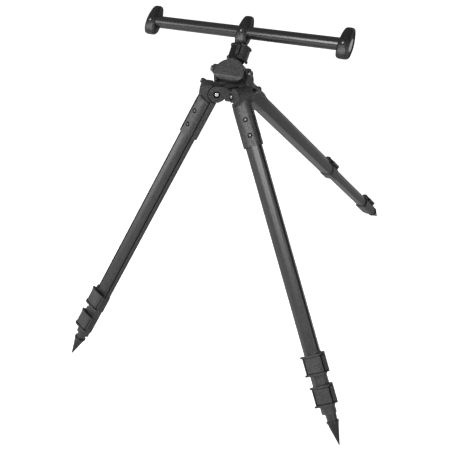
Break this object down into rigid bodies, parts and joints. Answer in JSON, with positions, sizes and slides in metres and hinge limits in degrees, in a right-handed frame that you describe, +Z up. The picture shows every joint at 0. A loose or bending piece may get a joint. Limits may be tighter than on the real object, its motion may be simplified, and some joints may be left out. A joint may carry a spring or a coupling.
{
  "type": "surf rod tripod",
  "caption": "Beach fishing tripod: telescopic lever-lock legs with ground spikes, and a tilting head that carries a bar with rests for rods.",
  "frame": {"origin": "on the ground, under the middle of the tripod's outline as it stands in the picture", "axes": "+Z up, +Y from the rod bar towards the back leg, +X to the right along the rod bar"},
  "size_m": [0.5958, 0.8536, 0.6605],
  "materials": {
    "tube_finish": "black anodised, satin",
    "cast_finish": "black powder coat on die cast metal",
    "moulding": "fine textured black moulding",
    "lever_moulding": "satin black moulding",
    "rest_moulding": "soft black moulding",
    "fastener": "dark zinc plated steel",
    "spike_finish": "blackened steel"
  },
  "bodies": {
    "hub": {"hub": "cast_finish", "left_hinge_bolt": "fastener", "right_hinge_bolt": "fastener", "back_hinge_bolt": "fastener", "tilt_bolt": "fastener", "tilt_nut": "fastener"},
    "left_leg": {"left_bracket": "cast_finish", "left_upper_tube": "tube_finish", "left_upper_clamp": "moulding", "left_upper_lever_pin": "fastener"},
    "left_mid_section": {"left_mid_tube": "tube_finish", "left_lower_clamp": "moulding", "left_lower_lever_pin": "fastener"},
    "left_lower_section": {"left_lower_tube": "tube_finish", "left_foot": "moulding", "left_spike": "spike_finish"},
    "left_upper_lever": {"left_upper_lever": "lever_moulding"},
    "left_lower_lever": {"left_lower_lever": "lever_moulding"},
    "left_lock_lever": {"left_lock_lever": "lever_moulding"},
    "right_leg": {"right_bracket": "cast_finish", "right_upper_tube": "tube_finish", "right_upper_clamp": "moulding", "right_upper_lever_pin": "fastener"},
    "right_mid_section": {"right_mid_tube": "tube_finish", "right_lower_clamp": "moulding", "right_lower_lever_pin": "fastener"},
    "right_lower_section": {"right_lower_tube": "tube_finish", "right_foot": "moulding", "right_spike": "spike_finish"},
    "right_upper_lever": {"right_upper_lever": "lever_moulding"},
    "right_lower_lever": {"right_lower_lever": "lever_moulding"},
    "right_lock_lever": {"right_lock_lever": "lever_moulding"},
    "back_leg": {"back_bracket": "cast_finish", "back_upper_tube": "tube_finish", "back_upper_clamp": "moulding", "back_upper_lever_pin": "fastener"},
    "back_mid_section": {"back_mid_tube": "tube_finish", "back_lower_clamp": "moulding", "back_lower_lever_pin": "fastener"},
    "back_lower_section": {"back_lower_tube": "tube_finish", "back_foot": "moulding", "back_spike": "spike_finish"},
    "back_upper_lever": {"back_upper_lever": "lever_moulding"},
    "back_lower_lever": {"back_lower_lever": "lever_moulding"},
    "back_lock_lever": {"back_lock_lever": "lever_moulding"},
    "head": {"tilt_knuckle": "cast_finish", "head_collar": "moulding", "collar_lever_pin": "fastener"},
    "collar_lever": {"collar_lever": "lever_moulding"},
    "bar": {"bar_stem": "cast_finish", "rod_bar": "tube_finish", "left_rest": "rest_moulding", "centre_rest": "rest_moulding", "right_rest": "rest_moulding"}
  },
  "joints": [
    {"name": "left_leg_splay", "type": "hinge", "parent": "hub", "child": "left_leg", "pos_m": [-0.02165, -0.26399, 0.54225], "axis": [-0.5, 0.866, 0], "range_deg": [-29.5, 33]},
    {"name": "left_mid_slide", "type": "slide", "parent": "left_leg", "child": "left_mid_section", "axis": [-0.4278, -0.247, -0.8695], "range_m": [0, 0.33]},
    {"name": "left_lower_slide", "type": "slide", "parent": "left_mid_section", "child": "left_lower_section", "axis": [-0.4278, -0.247, -0.8695], "range_m": [0, 0.3]},
    {"name": "left_upper_lever_flip", "type": "hinge", "parent": "left_leg", "child": "left_upper_lever", "pos_m": [-0.2504, -0.38416, 0.13515], "axis": [-0.4278, -0.247, -0.8695], "range_deg": [0, 110]},
    {"name": "left_lower_lever_flip", "type": "hinge", "parent": "left_mid_section", "child": "left_lower_lever", "pos_m": [-0.27294, -0.39777, 0.0865], "axis": [-0.4278, -0.247, -0.8695], "range_deg": [0, 110]},
    {"name": "left_lock_turn", "type": "hinge", "parent": "hub", "child": "left_lock_lever", "pos_m": [-0.02165, -0.26399, 0.54225], "axis": [-0.5, 0.866, 0], "range_deg": [-75, 10]},
    {"name": "right_leg_splay", "type": "hinge", "parent": "hub", "child": "right_leg", "pos_m": [0.02165, -0.26399, 0.54225], "axis": [-0.5, -0.866, 0], "range_deg": [-29.5, 33]},
    {"name": "right_mid_slide", "type": "slide", "parent": "right_leg", "child": "right_mid_section", "axis": [0.4278, -0.247, -0.8695], "range_m": [0, 0.33]},
    {"name": "right_lower_slide", "type": "slide", "parent": "right_mid_section", "child": "right_lower_section", "axis": [0.4278, -0.247, -0.8695], "range_m": [0, 0.3]},
    {"name": "right_upper_lever_flip", "type": "hinge", "parent": "right_leg", "child": "right_upper_lever", "pos_m": [0.2504, -0.38416, 0.13515], "axis": [-0.4278, 0.247, 0.8695], "range_deg": [0, 110]},
    {"name": "right_lower_lever_flip", "type": "hinge", "parent": "right_mid_section", "child": "right_lower_lever", "pos_m": [0.27294, -0.39777, 0.0865], "axis": [-0.4278, 0.247, 0.8695], "range_deg": [0, 110]},
    {"name": "right_lock_turn", "type": "hinge", "parent": "hub", "child": "right_lock_lever", "pos_m": [0.02165, -0.26399, 0.54225], "axis": [-0.5, -0.866, 0], "range_deg": [-75, 10]},
    {"name": "back_leg_splay", "type": "hinge", "parent": "hub", "child": "back_leg", "pos_m": [0, -0.22649, 0.54225], "axis": [1, 0, 0], "range_deg": [-49.6, 20]},
    {"name": "back_mid_slide", "type": "slide", "parent": "back_leg", "child": "back_mid_section", "axis": [0, 0.7628, -0.6467], "range_m": [-0.22, 0.11]},
    {"name": "back_lower_slide", "type": "slide", "parent": "back_mid_section", "child": "back_lower_section", "axis": [0, 0.7628, -0.6467], "range_m": [0, 0.3]},
    {"name": "back_upper_lever_flip", "type": "hinge", "parent": "back_leg", "child": "back_upper_lever", "pos_m": [0.01032, 0.1559, 0.24872], "axis": [0, 0.7628, -0.6467], "range_deg": [0, 110]},
    {"name": "back_lower_lever_flip", "type": "hinge", "parent": "back_mid_section", "child": "back_lower_lever", "pos_m": [0.00979, 0.36516, 0.06982], "axis": [0, 0.7628, -0.6467], "range_deg": [0, 110]},
    {"name": "back_lock_turn", "type": "hinge", "parent": "hub", "child": "back_lock_lever", "pos_m": [0, -0.22649, 0.54225], "axis": [1, 0, 0], "range_deg": [-75, 10]},
    {"name": "head_tilt", "type": "hinge", "parent": "hub", "child": "head", "pos_m": [0, -0.24749, 0.57825], "axis": [-1, 0, 0], "range_deg": [-60, 30]},
    {"name": "collar_lever_flip", "type": "hinge", "parent": "head", "child": "collar_lever", "pos_m": [0.00873, -0.23777, 0.61473], "axis": [0, -0.6521, -0.7581], "range_deg": [0, 100]},
    {"name": "bar_swivel", "type": "hinge", "parent": "head", "child": "bar", "pos_m": [0, -0.24749, 0.57825], "axis": [0, 0.6521, 0.7581], "continuous": true}
  ]
}
